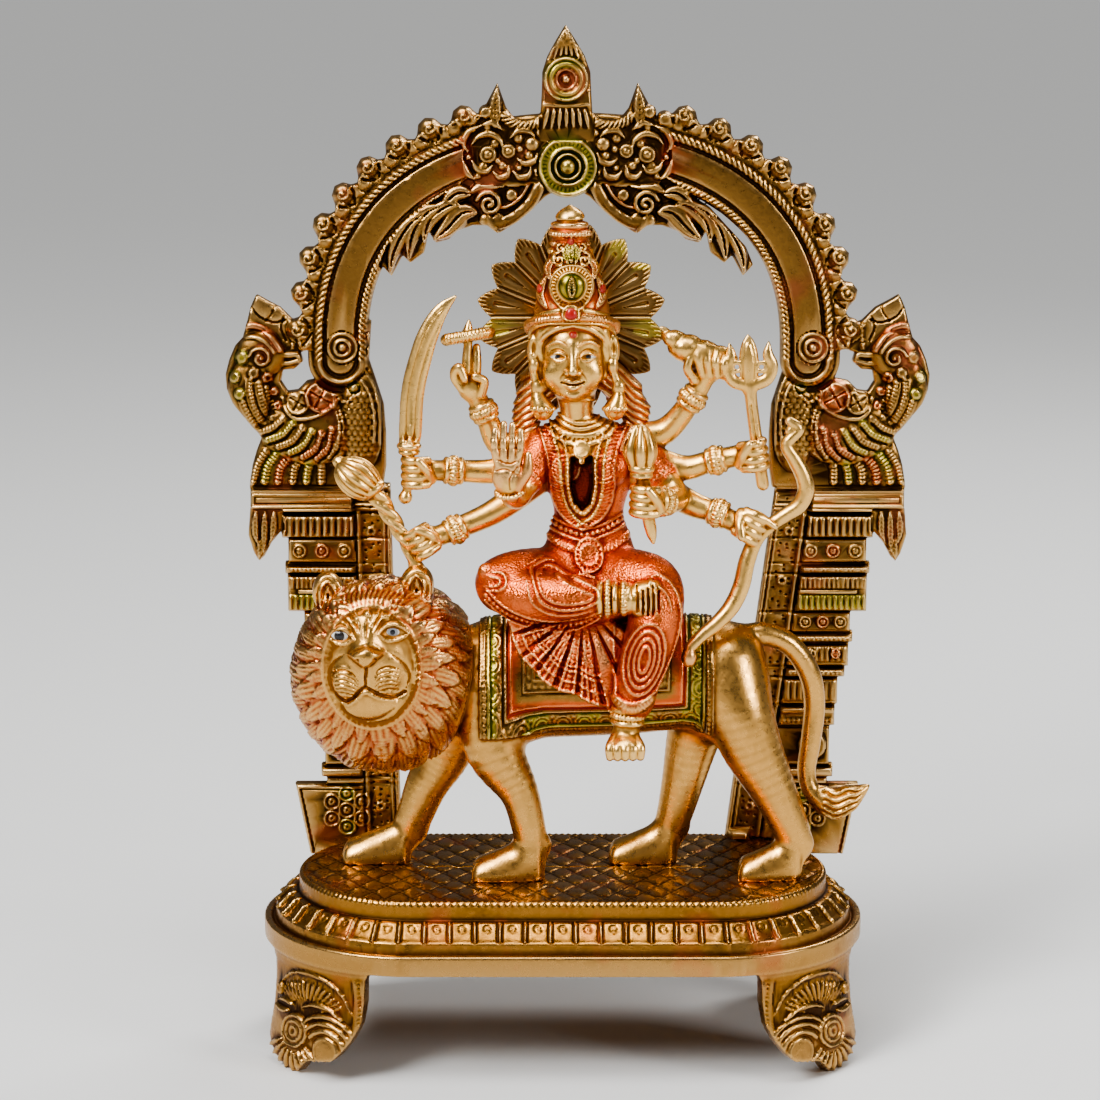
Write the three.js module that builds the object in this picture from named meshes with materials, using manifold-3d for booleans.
// Eight-armed goddess seated on a lion, in front of an ornamental arch, on an oval footed plinth.
// Millimetres, +Z up, the front faces -Y, the lion walks towards -X. Cast brass.
import * as THREE from "three";
import { mergeVertices } from "three/addons/utils/BufferGeometryUtils.js";
import Module from "manifold-3d";

// Plinth
const RIM_LENGTH = 211.4;
const RIM_DEPTH = 109;
const TOP_DEPTH = 82;
const PLINTH_HEIGHT = 63;
const FOOT_HEIGHT = 40.4;
const PLINTH_WALL = 3;
const FOOT_PLATE = 5.5;
// Everything on the plinth, from its top to the tip of the arch
const FIGURES_HEIGHT = 293.2;
const SADDLE_THICKNESS = 1.2;
const ARCH_PLATE = 4.5;
const ARCH_SETBACK = 2;
const HALO_RADIUS = 33;
const HALO_PLATE = 2;
const HALO_PETALS = 16;
// Space left where one casting is fixed against another
const GAP = 0.3;

// The figures are drawn with the arch 293.2 high and the lion's back at 91, and scaled to their height.
const DRAWN_HEIGHT = 293.2;
const LION_BACK = 91;
const scale = FIGURES_HEIGHT / DRAWN_HEIGHT;
const drawn = (size) => size / scale;

const wasm = await Module();
wasm.setup();
const X = new THREE.Vector3(1, 0, 0);
const Y = new THREE.Vector3(0, 1, 0);
const at = (x, y, z) => new THREE.Vector3(x, y, z);

function solid(geometry) {
  const source = geometry.index ? geometry.toNonIndexed() : geometry;
  const bare = new THREE.BufferGeometry();
  bare.setAttribute("position", source.getAttribute("position"));
  const merged = mergeVertices(bare, 1e-4);
  const faces = new Uint32Array(merged.index.array);
  const points = merged.attributes.position.array;
  const build = () => new wasm.Manifold(new wasm.Mesh({ numProp: 3, vertProperties: points,
    triVerts: faces }));
  const made = build();
  if (made.volume() > 0) {
    return made;
  }
  for (let i = 0; i < faces.length; i += 3) {
    const kept = faces[i + 1];
    faces[i + 1] = faces[i + 2];
    faces[i + 2] = kept;
  }
  return build();
}

const union = (list) => list.reduce((sum, one) => sum.add(one));

// A closed surface through rings that all have the same number of points.
function skin(rings) {
  const count = rings[0].length;
  const points = rings.flat();
  const faces = [];
  for (let j = 0; j + 1 < rings.length; j += 1) {
    for (let i = 0; i < count; i += 1) {
      const a = j * count + i;
      const b = j * count + ((i + 1) % count);
      faces.push(a, b, b + count, a, b + count, a + count);
    }
  }
  const middle = (ring) => ring.reduce((sum, p) => sum.add(p), at(0, 0, 0)).divideScalar(count);
  const first = points.push(middle(rings[0])) - 1;
  const last = points.push(middle(rings[rings.length - 1])) - 1;
  const top = (rings.length - 1) * count;
  for (let i = 0; i < count; i += 1) {
    const next = (i + 1) % count;
    faces.push(next, i, first);
    faces.push(top + i, top + next, last);
  }
  const geometry = new THREE.BufferGeometry().setFromPoints(points);
  geometry.setIndex(faces);
  return solid(geometry);
}

// A round bar through [x, y, z, radius] points, with flat ends.
function limb(path, sides = 6, flat = 1) {
  const spots = path.map(([x, y, z]) => at(x, y, z));
  const rings = spots.map((spot, i) => {
    const before = spots[Math.max(i - 1, 0)];
    const after = spots[Math.min(i + 1, spots.length - 1)];
    const along = after.clone().sub(before).normalize();
    const side = Math.abs(along.y) > 0.8 ? X.clone() : Y.clone();
    const across = side.cross(along).normalize();
    const up = along.clone().cross(across);
    return Array.from({ length: sides }, (_, n) => {
      const turn = (2 * Math.PI * (n + 0.5)) / sides;
      const out = across.clone().multiplyScalar(Math.cos(turn));
      out.addScaledVector(up, Math.sin(turn) * flat);
      return spot.clone().addScaledVector(out, path[i][3]);
    });
  });
  return skin(rings);
}

// Level oval rings, given as [z, centre x, centre y, half width, half depth].
function stack(levels, sides = 10) {
  const rings = levels.map(([z, cx, cy, rx, ry]) => Array.from({ length: sides }, (_, n) => {
    const turn = (2 * Math.PI * (n + 0.5)) / sides;
    return at(cx + rx * Math.cos(turn), cy + ry * Math.sin(turn), z);
  }));
  return skin(rings);
}

function ball(centre, radii, wide = 8, high = 6, tilt = 0) {
  const geometry = new THREE.SphereGeometry(1, wide, high);
  geometry.rotateX(Math.PI / 2);
  geometry.scale(...radii);
  geometry.rotateY(tilt);
  geometry.translate(...centre);
  return solid(geometry);
}

function block(low, high) {
  const size = high.map((v, i) => v - low[i]);
  const geometry = new THREE.BoxGeometry(...size);
  geometry.translate(...low.map((v, i) => v + size[i] / 2));
  return solid(geometry);
}

// A flat plate: an outline in x and z, between two y planes, with holes.
function plate(outline, front, back, holes = []) {
  const shape = new THREE.Shape(outline.map(([x, z]) => new THREE.Vector2(x, z)));
  shape.holes = holes.map((hole) => new THREE.Path(hole.map(([x, z]) => new THREE.Vector2(x, z))));
  const geometry = new THREE.ExtrudeGeometry(shape, { depth: back - front, bevelEnabled: false });
  geometry.rotateX(Math.PI / 2);
  geometry.translate(0, back, 0);
  return solid(geometry);
}

// A turned boss that faces the front: [radius, y] from the back to the front middle.
function boss(x, z, profile, sides = 10) {
  const back = profile[0][1];
  const points = [new THREE.Vector2(0, 0)];
  profile.forEach(([r, y]) => points.push(new THREE.Vector2(r, back - y)));
  points.push(new THREE.Vector2(0, back - profile[profile.length - 1][1]));
  const geometry = new THREE.LatheGeometry(points, sides);
  geometry.rotateX(Math.PI);
  geometry.translate(x, back, z);
  return solid(geometry);
}

// The oval that the plinth's tiers follow: two half circles joined by straight sides.
const CORE = (RIM_LENGTH - RIM_DEPTH) / 2;
const RIM_RADIUS = RIM_DEPTH / 2;
const TOP_RADIUS = TOP_DEPTH / 2;

function oval(radius, z, core = CORE) {
  const ring = [];
  const steps = 10;
  [1, -1].forEach((end) => {
    for (let i = 0; i <= steps; i += 1) {
      const turn = -Math.PI / 2 + (Math.PI * i) / steps + (end < 0 ? Math.PI : 0);
      ring.push(at(end * core + radius * Math.cos(turn), radius * Math.sin(turn), z));
    }
  });
  return ring;
}

const ovalBody = (profile) => skin(profile.map(([radius, z]) => oval(radius, z)));

function plinthFoot(sideX, sideY) {
  const levels = [
    [0, -9.5, -4, 1.2], [3, -16, -1, 2.2], [8, -20, 5, 2.4], [12, -21, 13, 1.8], [19, -19, 19.5, 1],
    [30, -19.5, 23.5, -0.2], [43, -20.5, 23.5, -0.4],
  ];
  const rings = levels.map(([z, low, high, flare]) => {
    const arc = (radius, from, to) => [0, 1, 2].map((n) => {
      const turn = 0.8 + (from + ((to - from) * n) / 2) / 52;
      const x = CORE + radius * Math.cos(turn);
      return at(sideX * x, sideY * radius * Math.sin(turn), (z * FOOT_HEIGHT) / 40.4);
    });
    const face = RIM_RADIUS + flare;
    return [...arc(face, low, high), ...arc(face - FOOT_PLATE, high, low)];
  });
  return skin(rings);
}

function makePlinth() {
  const drop = PLINTH_HEIGHT - FOOT_HEIGHT;
  const lift = (share) => FOOT_HEIGHT + share * drop;
  const wall = PLINTH_WALL;
  const shell = ovalBody([
    [TOP_RADIUS - wall, PLINTH_HEIGHT - wall], [TOP_RADIUS - wall + 1, lift(0.7) - wall],
    [RIM_RADIUS - wall - 3, lift(0.36) - wall], [RIM_RADIUS - wall, lift(0.3) - wall],
    [RIM_RADIUS - wall, FOOT_HEIGHT], [RIM_RADIUS, FOOT_HEIGHT], [RIM_RADIUS, lift(0.315)],
    [RIM_RADIUS - 2.5, lift(0.315)], [RIM_RADIUS - 3, lift(0.27)], [RIM_RADIUS - 4, lift(0.27)],
    [RIM_RADIUS - 4, lift(0.44)], [RIM_RADIUS - 6, lift(0.5)], [TOP_RADIUS + 3.2, lift(0.71)],
    [TOP_RADIUS + 1, lift(0.71)], [TOP_RADIUS, PLINTH_HEIGHT],
  ]);
  const feet = [];
  [1, -1].forEach((x) => [1, -1].forEach((y) => feet.push(plinthFoot(x, y))));
  return union([shell, ...feet]);
}

// The lion's trunk as [x, centre y, centre z, half depth, half height].
const TRUNK = [
  [-36, 0, 68, 13, 18], [-24, 0, 68.5, 15.5, 21.5], [0, 0, 69.4, 16, 21.6], [25, 0, 70, 16, 21],
  [45, 0, 71, 16, 19.6], [57, 0, 72, 15, 17.2], [64, 0, 73.5, 12, 13.6], [68.6, 0, 75, 6, 7],
];

function trunk(grow, lift = 0, from = -99, to = 99, sides = 10) {
  const kept = TRUNK.filter(([x]) => x > from && x < to);
  const between = (x) => {
    const n = TRUNK.findIndex((one) => one[0] > x);
    const share = (x - TRUNK[n - 1][0]) / (TRUNK[n][0] - TRUNK[n - 1][0]);
    return TRUNK[n].map((v, i) => TRUNK[n - 1][i] + (v - TRUNK[n - 1][i]) * share);
  };
  const rows = [...kept];
  if (from > -99) {
    rows.unshift(between(from));
    rows.push(between(to));
  }
  return skin(rows.map(([x, cy, cz, ry, rz]) => Array.from({ length: sides }, (_, n) => {
    const turn = (2 * Math.PI * (n + 0.5)) / sides;
    return at(x, cy + (ry + grow) * Math.cos(turn), cz + lift + (rz + grow) * Math.sin(turn));
  })));
}

const saddle = (grow, low, lift = 0) => (
  trunk(grow, lift, -29, 52).intersect(block([-40, -30, low + lift], [60, 30, 120 + lift])));

// The mane: rings round the face, from front to back, whose points stand in and out as pointed locks.
function maneSkin() {
  const rows = [
    [-30.5, -64.6, 80, 15, 19], [-33.6, -64.4, 78.4, 21, 25], [-29, -63.6, 75, 27.4, 30.6],
    [-20, -62.6, 73, 30.6, 33.4], [-7, -61, 72.4, 31, 33], [6, -57.6, 72.6, 26.4, 28],
    [15, -53, 73, 15, 17],
  ];
  const sides = 26;
  return skin(rows.map(([y, cx, cz, wide, high], row) => Array.from({ length: sides }, (_, n) => {
    const turn = (2 * Math.PI * n) / sides;
    const lock = (n + row) % 2 ? 1.07 : 0.95;
    return at(cx + wide * lock * Math.cos(turn), y, cz + high * lock * Math.sin(turn));
  })));
}

function makeLion() {
  const body = [
    trunk(0),
    saddle(drawn(SADDLE_THICKNESS), 53.5),
    maneSkin(),
    ball([-65, -22, 80.2], [17.4, 14, 22], 8, 6),
    ball([-72, -32.5, 77], [7.8, 6.2, 6.8], 6, 4),
    ball([-58, -32.5, 79.5], [7.8, 6.2, 6.8], 6, 4),
    ball([-66.5, -32, 89], [5, 5.5, 10.5], 5, 4),
    ball([-64.3, -30.5, 67], [8.5, 5, 5.5], 6, 3),
    ball([-75.6, -30, 93], [5.4, 4.4, 3.2], 5, 3),
    ball([-57.4, -30, 95.6], [5.4, 4.4, 3.2], 5, 3),
    ball([-82.9, -14, 100.4], [7, 5, 7.6], 6, 4),
    ball([-50.9, -14, 100.4], [7, 5, 7.6], 6, 4),
  ];
  const legs = [
    limb([[-27, -6, 66, 12], [-24.5, -10, 46, 9.5], [-18.5, -11.5, 30, 6.6], [-12.5, -12, 15, 5.2],
      [-14, -12, -1, 5.6]]),
    limb([[-36, 6, 58, 12], [-42, 9, 38, 8.5], [-49, 9, 23, 6.2], [-55.5, 9, 11, 5.4],
      [-59, 9, -1, 5.6]]),
    limb([[57, -4, 74, 13], [60, -9, 60, 12], [64, -10.5, 46, 9.2], [74.5, -11, 32, 6.4],
      [81, -11, 15, 5], [79, -11.5, -1, 5.4]]),
    limb([[52, 5, 66, 12.5], [46, 9, 46, 9.5], [41.5, 9, 26, 6.8], [36.5, 9, 12, 5.3],
      [34, 9, -1, 5.6]]),
  ];
  const paws = [[-20, -12.5], [-65, 8.5], [71.5, -12], [28.5, 8.5]].map(([x, y]) => (
    ball([x, y, 3], [10, 7.8, 6.6], 6, 4)));
  const tail = [
    limb([[62, 0, 83, 4], [70, 1, 84.2, 4], [79.5, 2, 80.1, 4], [86.4, 3, 70, 4], [88.6, 4, 58, 3.9],
      [87.4, 3, 45, 3.6], [85.6, 2, 34.8, 3.3], [87, 1, 27.5, 3.1], [92, 0, 24.2, 3.6]], 6),
    limb([[88, 1, 25.4, 3], [94, 0, 23.6, 5.2], [101, 0, 25, 4.4], [107.8, 0, 28.5, 0.8]], 6),
  ];
  const ground = block([-130, -60, -20], [130, 60, 0]);
  return union([...body, ...legs, ...paws, ...tail]).subtract(ground);
}

// The pleated fall of the skirt: a fan from the waist to the hem, folded like a screen.
function pleatedFall() {
  const hem = [[-22, 7], [-18, -3], [-14.5, -9.5], [-10.5, -13], [-6.5, -18], [-1, -21.7], [4, -22.5],
    [9, -26], [16.7, -28.4], [24, -26], [26, -6]];
  const waist = [4, 6];
  const ring = (share, deep) => {
    const spots = hem.map(([x, z]) => [waist[0] + (x - waist[0]) * share,
      waist[1] + (z - waist[1]) * share]);
    const front = spots.map(([x, z], n) => at(x, n % 2 ? -deep : -deep + 3 * share, z));
    return [...front, ...spots.reverse().map(([x, z]) => at(x, -17, z))];
  };
  return skin([ring(0.2, 23), ring(0.6, 24), ring(1, 25)]);
}

// The goddess, drawn from her seat at z = 0. The halo's front is HALO_Y behind her middle.
const HALO_Y = 9.6;

function makeGoddess() {
  const trunkUp = [
    stack([[-6, 9, 0, 15, 10], [2, 9, -2, 18, 13], [12, 9.3, -3, 18, 12], [24.4, 9.3, -2, 15.6, 10.4],
      [24.6, 8.9, -1, 16.2, 11.4], [30, 8.9, -1, 15.6, 11], [30.2, 8.9, -1, 13.8, 9.4],
      [37, 8.9, -1, 12.2, 8.6], [46, 8.8, -2, 14.2, 9.6], [55, 8.6, -2.5, 16.8, 10],
      [62, 8.6, -1, 17.6, 8.4], [67, 7.6, -0.5, 13, 7], [71, 5.4, -1, 6.6, 6], [80, 4.2, -3, 5.4, 5.6]],
      9),
    ball([1.6, -9.5, 53], [7.4, 4.4, 6.6], 6, 4),
    ball([14.8, -9.5, 53.6], [7.4, 4.4, 6.6], 6, 4),
  ];
  const head = [
    ball([3.3, -4, 91], [11, 10.5, 13.6], 8, 5),
    ball([3.3, -14.6, 90.5], [2, 2.2, 3.6], 4, 3),
    ball([4, 2.5, 88], [14, 7, 16], 6, 4),
    limb([[-9, 3, 88, 4], [-12, 3, 76, 4.6], [-12, 2, 64, 3.4]], 4),
    limb([[16, 3, 88, 4], [22, 3, 79, 5.2], [24, 2, 66, 3.8]], 4),
    ball([-7.4, -5, 81.6], [4, 3.2, 6.4], 5, 4),
    ball([14.8, -5, 82.4], [4, 3.2, 6.4], 5, 4),
    stack([[97, 3, -3, 11, 10], [101.5, 3, -3.4, 13.4, 12.4], [107, 3, -3, 13.2, 12],
      [108, 3, -2.6, 11.4, 10.2], [124, 2.8, 0.4, 7.8, 7], [129, 2.4, 1.4, 6.4, 5.8],
      [131, 2.2, 2, 7.2, 6.6], [135.4, 2.1, 2.6, 2.8, 2.8], [138.2, 2.1, 3, 4.4, 4.4],
      [142.6, 2.1, 3, 0.6, 0.6]], 9),
    ball([3.2, -13.4, 113], [5.4, 3, 7], 6, 3),
  ];
  const sash = [
    limb([[-2, -8.5, 64, 1.7], [-1, -12.8, 52, 1.7], [2, -12.2, 40, 1.7], [8.6, -11.2, 35.8, 1.7],
      [15, -12.2, 40, 1.7], [18, -12.8, 52, 1.7], [19.4, -8.5, 64, 1.7]], 4),
  ];
  const legs = [
    limb([[0, -3, 12, 13], [-13, -12, 14.5, 11.5], [-20.5, -16.5, 15.5, 9.4], [-26, -18.5, 16, 4.5]],
      7, 0.86),
    limb([[-22, -20, 13, 7.5], [-10, -24, 12, 8.6], [4, -27, 12.5, 7.4], [10.6, -28, 12.4, 6],
      [11, -28.2, 12.4, 7], [16, -28.6, 12.4, 6.8], [16.4, -28.6, 12.4, 5], [22, -29, 12.4, 4.4],
      [33, -29.5, 11.4, 2.8]], 6),
    limb([[14, -3, 12, 12.5], [24, -12, 14, 12], [31, -19, 14, 10], [31.5, -24.5, 6, 9.2],
      [28, -27, -6, 8.6], [24.4, -28.4, -25, 8]], 7),
    limb([[23.6, -28.4, -22, 4.8], [22, -28.4, -29, 4.6], [22, -28.4, -29.2, 5.8],
      [21.9, -28.4, -31.8, 5.8], [21.8, -28.4, -32, 4.6], [21.4, -29, -38, 5]], 6),
    ball([21.1, -32, -38.6], [6.8, 7.4, 4.6], 6, 4),
    ball([6, -15, 8], [24, 12, 10], 6, 4),
  ];
  // Shoulder, elbow, the wrist's ring and the hand, as [x, y, z, radius]
  const arms = [
    [[-7, -2, 60, 6.4], [-15.6, -14, 45, 4.6], [-17.4, -19.6, 46.8, 4.8], [-18.6, -23, 50, 4.6],
      [-19, -24, 58, 5], [-18.6, -24, 65, 4.6], [-18.4, -24, 70, 1.6]],
    [[-7, 1, 61, 6], [-21.4, 0, 60, 4.6], [-26.4, -1.4, 70.4, 3.8], [-26.6, -1.4, 70.8, 4.8],
      [-28, -1.7, 73.8, 4.6], [-28.3, -2, 74.4, 3.4], [-31, -3, 79, 5], [-33.4, -4, 86, 5]],
    [[-6, 0, 57, 6.4], [-22, -4, 52.2, 4.4], [-35.6, -6, 52.4, 3.8], [-36, -6.4, 52.5, 5],
      [-40, -7, 52.7, 5], [-40.4, -7, 52.8, 3.4], [-45.4, -7.8, 52.8, 6], [-52, -8, 52.8, 5.4]],
    [[-5, 0, 52, 6], [-21.7, -6, 39.4, 4.4], [-35.2, -9.2, 33.4, 3.8], [-35.6, -9.4, 33.2, 5],
      [-39, -10.2, 31.6, 5], [-39.4, -10.2, 31.4, 3.4], [-44.4, -11.4, 30, 6], [-51, -12.6, 28.6, 5.4]],
    [[24, 1, 62, 6], [35.6, 0, 65, 4.6], [43.3, -2.1, 75.2, 3.8], [43.6, -2.2, 75.6, 4.8],
      [45.6, -2.7, 78.4, 4.8], [45.9, -2.8, 78.8, 3.4], [48, -3.4, 84, 5], [50.4, -4, 90, 5]],
    [[24, -2, 60, 6.4], [39, -10, 44, 4.6], [35.2, -17.7, 43.6, 3.8], [35, -18, 43.6, 5],
      [32.6, -20.8, 44.4, 5], [32.3, -21, 44.4, 4.4], [29.6, -23.4, 46, 5.8], [25.6, -25, 46.6, 4.4]],
    [[24, 0, 57, 6.2], [40.5, -3.4, 53, 4.4], [50.2, -5.7, 55.5, 3.8], [50.6, -5.8, 55.6, 5],
      [54.6, -6.4, 56.6, 5], [55, -6.4, 56.6, 3.4], [60.6, -7.4, 58, 5.4], [69.6, -8, 58.8, 5]],
    [[23, 0, 52, 6], [43, -6.6, 41.6, 4.4], [51.3, -8.8, 38.8, 3.8], [51.6, -8.9, 38.7, 5],
      [55.4, -9.8, 37.5, 5], [55.8, -9.8, 37.4, 3.4], [60.6, -11, 34.6, 5.6], [67, -12.4, 31.8, 5]],
  ].map((path) => limb(path, 5));
  const held = [
    // Two raised fingers and the disc
    limb([[-35.2, -4, 85, 2.8], [-32.4, -4, 98, 2.2]], 4),
    limb([[-29.4, -4, 85, 2.4], [-29.2, -4, 94, 1.8]], 4),
    limb([[-25, -3, 99.8, 1.6], [-21.6, -2, 100.4, 3.4]], 5),
    // Curved sword
    limb([[-53.4, -8, 45.6, 2.8], [-53, -8, 58, 2.6], [-52.9, -8, 59, 4.6], [-52.8, -8, 61.6, 4.6],
      [-52.6, -8, 65, 3]], 5),
    limb([[-52.4, -8, 64, 4], [-51.7, -8, 77, 3.9], [-49.4, -8, 89, 3.8], [-46, -8, 99, 3.4],
      [-42, -8, 106.6, 2.6], [-36.8, -8, 112.4, 0.4]], 4, 0.4),
    // Mace
    limb([[-50, -14, 18.6, 3.4], [-51.4, -13.6, 22, 2.2], [-54, -13, 29, 2.6], [-62, -11, 42, 3.2],
      [-65.4, -10.6, 46.4, 4], [-66.6, -10.4, 47.8, 7.4], [-71, -9.8, 51.6, 8.2], [-75, -9.2, 54.8, 4.6],
      [-77.4, -9, 56.6, 1]], 6),
    // Conch
    limb([[57.4, -4, 91.4, 2], [50, -4, 91.6, 5], [43, -4, 93.6, 5.6], [38, -4, 96.6, 3.8],
      [33.6, -4, 101, 0.5]], 6),
    // Lotus bud
    limb([[30.4, -24, 31.4, 1], [29.4, -24, 37, 2.6], [26.4, -24, 56, 3.4], [26, -24, 62, 6],
      [26, -24, 67, 5.4], [26, -24, 72.6, 1]], 6),
    // Trident
    limb([[68.4, -8, 50, 2.6], [64.4, -8, 72, 2.4], [63.6, -8, 83, 3], [63.2, -8, 93, 3.4],
      [63, -8, 99.8, 0.4]], 5),
    limb([[56.4, -8, 97, 0.4], [56.2, -8, 91, 2], [58, -8, 84.4, 2.6], [64, -8, 81.8, 2.6],
      [69.4, -8, 84.4, 2.6], [71.2, -8, 91, 2], [70.4, -8, 97.4, 0.4]], 4, 0.7),
    // Bow
    limb([[75.6, -11, 69, 1.6], [79.6, -11, 69.4, 2.6], [78.2, -11, 62, 2.4], [82.4, -11, 51.6, 2.6],
      [82.4, -11, 44, 2.6], [78, -11, 38.6, 2.6], [70, -11.6, 34.6, 2.6], [65.6, -12.4, 26, 2.6],
      [63.6, -13.6, 14, 2.6], [58.6, -15.4, 4.4, 2.5], [51, -17, -1.4, 2.4], [44.4, -20, -6, 2.3],
      [43.4, -20.4, -11.4, 2.6]], 4),
  ];
  const disc = new THREE.CylinderGeometry(9.8, 9.8, 4.4, 10);
  disc.rotateX(Math.PI / 2);
  disc.rotateY(-0.17);
  disc.translate(-32.6, -3, 98.6);
  const figure = union([...trunkUp, ...head, ...sash, ...legs, pleatedFall(), ...arms, ...held,
    solid(disc)]);
  const gap = drawn(GAP);
  const lionRoom = trunk(gap, -LION_BACK).add(saddle(drawn(SADDLE_THICKNESS) + gap, 53.2, -LION_BACK));
  const haloRoom = block([-60, HALO_Y - gap, 60], [60, HALO_Y + 20, 150]);
  return figure.subtract(lionRoom).subtract(haloRoom);
}

function makeHalo() {
  const outline = [];
  for (let n = 0; n < HALO_PETALS; n += 1) {
    const turn = (2 * Math.PI * n) / HALO_PETALS;
    [[-0.5, 0.8], [-0.28, 0.94], [0, 1], [0.28, 0.94]].forEach(([share, reach]) => {
      const spot = turn + (share * 2 * Math.PI) / HALO_PETALS;
      const radius = drawn(HALO_RADIUS) * reach;
      outline.push([radius * Math.cos(spot), radius * Math.sin(spot)]);
    });
  }
  return plate(outline, 0, drawn(HALO_PLATE));
}

// The ring of the arch is a rounded oval; t is the distance outside its middle line.
const RING = { x: 4, z: 180, wide: 82.7, high: 71.3, power: 2 / 2.3 };

function ringSpot(turn, t) {
  const c = Math.cos(turn);
  const s = Math.max(Math.sin(turn), 0);
  const x = RING.x - Math.sign(c) * (RING.wide + t) * Math.abs(c) ** RING.power;
  return [x, RING.z + (RING.high + t) * s ** RING.power - (turn < 0 || turn > Math.PI ? 8 : 0)];
}

function makeRing(back) {
  const front = back - drawn(ARCH_PLATE);
  const section = [
    [-9.6, back], [-9.6, front], [-7.4, front - 2.6], [-4.8, front - 1], [4.8, front - 1],
    [7.5, front - 2.6], [10, front], [14.6, front], [14.6, back],
  ];
  const turns = [-0.02];
  for (let n = 0; n <= 18; n += 1) {
    turns.push((Math.PI * n) / 18);
  }
  turns.push(Math.PI + 0.02);
  return skin(turns.map((turn) => section.map(([t, y]) => {
    const [x, z] = ringSpot(turn, t);
    return at(x, y, z);
  })));
}

function makeBuds(front) {
  const buds = [];
  for (let n = 0; n < 22; n += 1) {
    const turn = 0.06 + ((Math.PI - 0.12) * n) / 21;
    const [x, z] = ringSpot(turn, 13.6);
    const [outX, outZ] = ringSpot(turn, 19);
    const bud = new THREE.OctahedronGeometry(1);
    bud.scale(5.6, 3.6, 5.2);
    bud.rotateY(-Math.atan2(outZ - z, outX - x));
    bud.translate(x, front + 0.6, z);
    buds.push(solid(bud));
  }
  return buds.filter((_, n) => n < 9 || n > 12);
}

// One pillar with its ledge, its bird and its scrolls. Lengths across are measured from the arch's middle.
function makeSide(side, back) {
  const front = back - drawn(ARCH_PLATE);
  const px = (u) => 5.3 + side * u;
  const mid = (u) => 1.6 + side * u;
  const lean = side < 0 ? [64, 0.022] : [54, 0.128];
  const edge = (z) => lean[0] + lean[1] * z;
  const placed = (points, place) => points.map(([u, z]) => [place(u), z]);
  const outlined = (points, near, far, place = px, holes = []) => (
    plate(placed(points, place), near, far, holes.map((hole) => placed(hole, place))));
  const bird = [
    [92, 190], [100.5, 190], [106.5, 194], [114.5, 199], [116.8, 190.4], [119, 183.3], [123.2, 177.5],
    [125.2, 169.8], [123.7, 162.7], [118.4, 155.5], [114.2, 148.8], [115.8, 141], [117.4, 130],
    [69.5, 130], [68.3, 147], [68.8, 158], [71, 167], [73.5, 176], [73.5, 185],
  ];
  const opening = [
    [105.3, 170.5], [102, 175], [96.8, 178], [91.4, 178], [88.3, 173], [89.3, 168.6], [94.8, 167.3],
    [99.3, 166.2], [104.6, 163.5],
  ];
  // The pillar's mouldings from the foot up, as [bottom, top, outer edge, rise]
  const courses = [
    [-6, 20.8, 102.6, 0.8], [23.4, 28, 93, 2.2], [29, 42, 92, 0.4], [43, 50.6, 93.4, 1.8],
    [52, 60, 94.4, 0.6], [61, 64.6, 96.8, 2.8], [66, 73, 98.2, 1], [74, 77, 99.4, 2.8],
    [78, 84.4, 98.6, 0.6], [85, 98.6, 104.4, 2.2], [99.2, 102.6, 105, 3.2], [103.2, 111.4, 104, 0.8],
    [112, 120.8, 106, 2.6], [121.4, 131, 117, 3.6],
  ];
  const rings = courses.flatMap(([bottom, top, outer, rise]) => [bottom, top].map((z) => {
    const wide = z < 0 ? 97.4 : outer;
    const corners = [
      [edge(z), back], [edge(z), front - 0.8], [edge(z) + 13, front - 0.8], [edge(z) + 13, front - rise],
      [wide, front - rise], [wide, back],
    ];
    return corners.map(([u, y]) => at(px(u), y, z));
  }));
  return [
    skin(rings),
    outlined(bird, front, back, px, [opening]),
    outlined([[106, 122], [105.4, 114], [110, 109], [114, 103.4], [117.6, 113],
      [116.6, 122]], front - 2.6, back),
    boss(px(side < 0 ? 83.6 : 82), 11.4, [[9.4, front + 1], [9.4, front - 2]], 8),
    block([Math.min(px(edge(0) + 1), px(edge(0) + 9)), front - 4, -6],
      [Math.max(px(edge(0) + 1), px(edge(0) + 9)), front + 1, 4]),
    // Bird: body, wing, neck and head, the scaled tail, and the boss that ends the ring
    ball([px(94), front, 152], [16.5, 6, 12.5], 7, 5, side * 0.4),
    ball([px(93), front - 2.6, 160.4], [9.5, 4.4, 6.6], 6, 3, side * 0.3),
    ball([px(116.6), front, 164], [6.6, 4.6, 12.4], 6, 4, side * 0.3),
    ball([px(111.6), front, 179], [8, 4.4, 6.4], 6, 4),
    ball([px(76.6), front, 152], [7, 4.2, 18], 5, 4),
    boss(px(82.6), 180.6, [[7.2, front + 1], [7.2, front - 2.6], [3.6, front - 4.6]], 8),
    // Scroll leaves inside the ring
    outlined([
      [3, 240], [3, 236], [12.4, 228.4], [25, 221.6], [30.5, 223.6], [38.8, 222], [41, 218.6],
      [47.5, 217.6], [50.5, 212.6], [55, 210.4], [63, 206.4], [65.4, 212], [58, 224], [44, 236],
      [30, 244],
    ], front - 0.6, back - 0.6, mid),
    boss(mid(27), 231, [[5.6, front + 1], [5.6, front - 2.4], [2.6, front - 3.4]], 7),
    limb([[mid(33), front, 231, 2.4], [mid(46), front - 1.2, 225, 3], [mid(62.4), front, 207.4, 0.8]], 4),
    // Mask beside the medallion and the spike above it
    ball([mid(25.6), front - 1, 249], [8.4, 4.6, 9.6], 6, 4),
    outlined([[15, 254], [17.6, 260.6], [23, 273], [27, 268.6], [30.4, 262.6],
      [33, 255]], front - 1, back - 0.6, mid),
  ];
}

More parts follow.
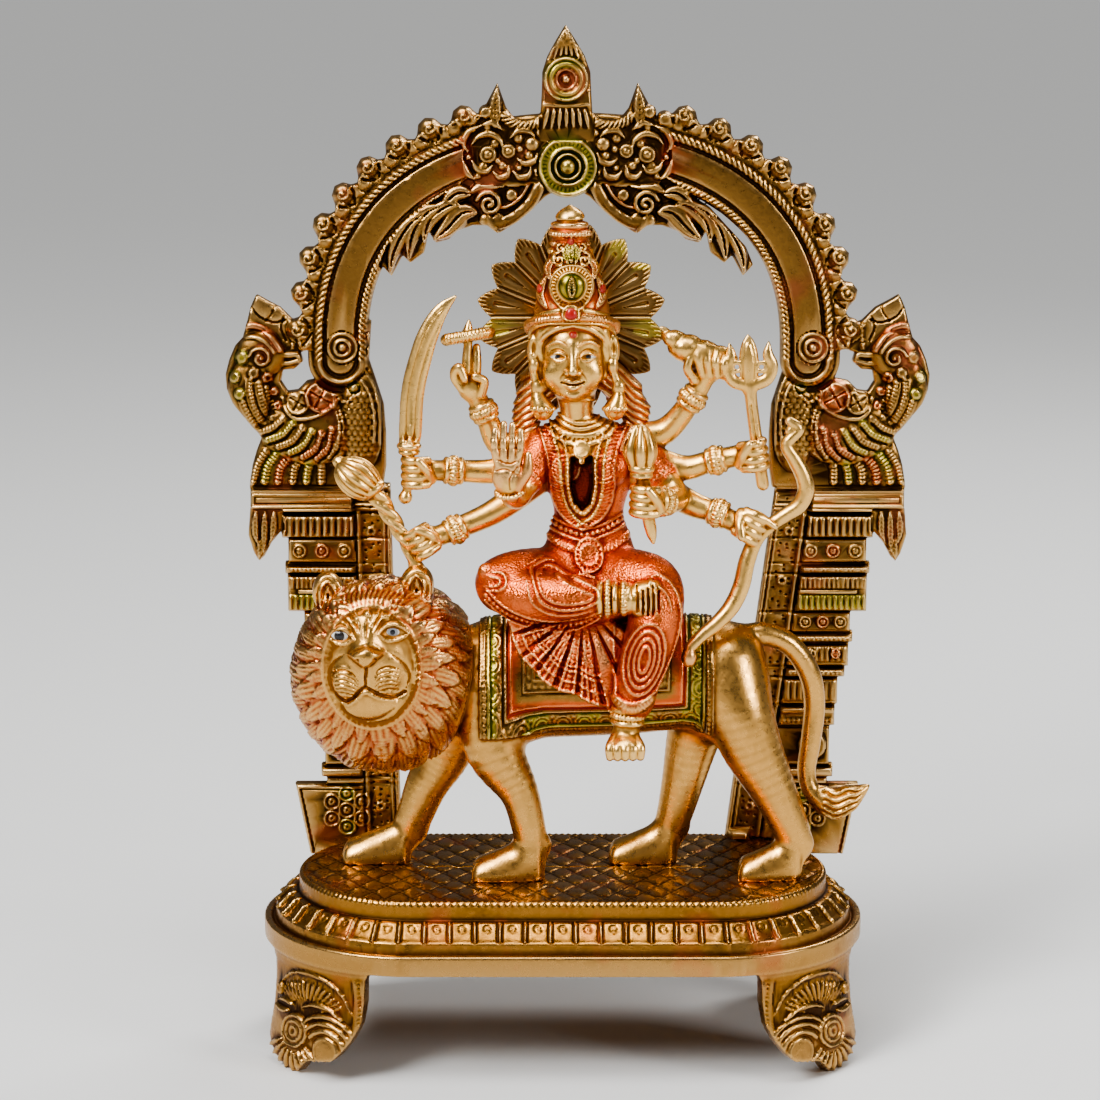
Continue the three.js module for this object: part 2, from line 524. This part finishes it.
function makeArch() {
  const back = drawn(TOP_RADIUS - ARCH_SETBACK);
  const front = back - drawn(ARCH_PLATE);
  const crest = [
    [-9, 246], [-9.4, 258], [-8.8, 264], [-8.9, 270], [-8.5, 276], [-5.6, 284.4], [-0.8, DRAWN_HEIGHT],
    [4.4, 284.4], [8.5, 276], [8.9, 270], [8.8, 264], [9.4, 258], [9, 246],
  ];
  const saddleBow = [[-18.6, 254], [-17.4, 260.4], [-12, 259.6], [-8, 262], [8, 262], [12, 259.6],
    [17.4, 260.4], [18.6, 254]];
  const shift = (points) => points.map(([x, z]) => [x + 1.5, z]);
  const middle = [
    plate(shift(crest), front - 0.6, back),
    plate(shift(saddleBow), front - 1.6, back),
    boss(1.6, 244.4, [[11.6, front + 1], [11.6, front - 1.8], [10, front - 3.4], [6.4, front - 3.2],
      [5, front - 2], [2.6, front - 4.6]], 12),
    boss(1.4, 274.4, [[8, front + 1], [8, front - 1.4], [6.6, front - 2.6], [4, front - 1.4],
      [1.8, front - 3.2]], 10),
  ];
  const sides = [...makeSide(-1, back), ...makeSide(1, back)];
  const all = union([makeRing(back), ...makeBuds(front), ...sides, ...middle]);
  const clear = drawn(TOP_RADIUS + 1 + GAP);
  const behind = block([-200, back, -60], [200, back + 20, 400]);
  return all.subtract(behind).subtract(skin([oval(clear, -30, drawn(CORE)), oval(clear, 0, drawn(CORE))]));
}

function mesh(name, made, colour, metalness, roughness) {
  const data = made.getMesh();
  const points = [];
  for (let i = 0; i < data.numVert; i += 1) {
    points.push(...data.vertProperties.subarray(i * data.numProp, i * data.numProp + 3));
  }
  const geometry = new THREE.BufferGeometry();
  geometry.setAttribute("position", new THREE.Float32BufferAttribute(points, 3));
  geometry.setIndex(Array.from(data.triVerts));
  geometry.computeVertexNormals();
  const one = new THREE.Mesh(geometry, new THREE.MeshStandardMaterial({ color: colour, metalness,
    roughness }));
  one.name = name;
  return one;
}

// The figures stand on the plinth's top in one scaled group.
const figures = new THREE.Group();
figures.position.z = PLINTH_HEIGHT;
figures.scale.setScalar(scale);
const lion = mesh("lion", makeLion(), 0xd2a867, 0.9, 0.35);
const goddess = mesh("goddess", makeGoddess(), 0xb4603f, 0.8, 0.4);
goddess.position.z = LION_BACK;
const halo = mesh("halo", makeHalo(), 0x6f5524, 0.9, 0.45);
halo.position.set(2.8, HALO_Y, LION_BACK + 103);
const arch = mesh("arch", makeArch(), 0x86682c, 0.9, 0.42);
figures.add(lion, goddess, halo, arch);

const group = new THREE.Group();
group.add(mesh("plinth", makePlinth(), 0x8a6232, 0.9, 0.4), figures);
const bounds = new THREE.Box3().setFromObject(group);
const centre = bounds.getCenter(new THREE.Vector3());
group.position.set(-centre.x, -centre.y, -bounds.min.z);

export default group;
